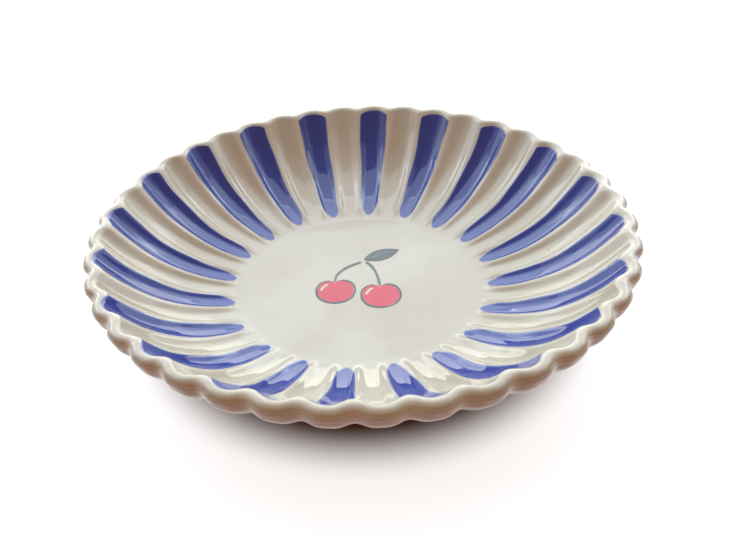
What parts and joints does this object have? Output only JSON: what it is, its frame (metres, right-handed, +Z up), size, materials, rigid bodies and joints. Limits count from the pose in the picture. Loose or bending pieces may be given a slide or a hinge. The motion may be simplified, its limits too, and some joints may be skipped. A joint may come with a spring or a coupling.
{
  "type": "soup plate",
  "caption": "Deep round glazed soup plate with a flat well, a fluted wall, a scalloped lip, blue stripes in alternate flutes and painted cherries on its floor.",
  "frame": {"origin": "on the table, at the middle of the foot ring", "axes": "+Z up out of the bowl; +X and +Y each point along the middle of a blue flute"},
  "size_m": [0.23, 0.23, 0.0444],
  "materials": {
    "cream_glaze": "gloss",
    "blue_colour": "gloss",
    "red_colour": "gloss",
    "slate_colour": "gloss",
    "green_colour": "gloss",
    "cream_colour": "gloss"
  },
  "bodies": {
    "root": {"plate_body": "cream_glaze", "blue_stripe_01": "blue_colour", "blue_stripe_02": "blue_colour", "blue_stripe_03": "blue_colour", "blue_stripe_04": "blue_colour", "blue_stripe_05": "blue_colour", "blue_stripe_06": "blue_colour", "blue_stripe_07": "blue_colour", "blue_stripe_08": "blue_colour", "blue_stripe_09": "blue_colour", "blue_stripe_10": "blue_colour", "blue_stripe_11": "blue_colour", "blue_stripe_12": "blue_colour", "blue_stripe_13": "blue_colour", "blue_stripe_14": "blue_colour", "blue_stripe_15": "blue_colour", "blue_stripe_16": "blue_colour", "blue_stripe_17": "blue_colour", "blue_stripe_18": "blue_colour", "blue_stripe_19": "blue_colour", "blue_stripe_20": "blue_colour", "cherry_left": "red_colour", "cherry_right": "red_colour", "cherry_left_outline": "slate_colour", "cherry_right_outline": "slate_colour", "cherry_left_glint": "cream_colour", "cherry_right_glint": "cream_colour", "stem_left": "green_colour", "stem_right": "green_colour", "leaf": "slate_colour", "leaf_vein": "green_colour"}
  },
  "joints": []
}
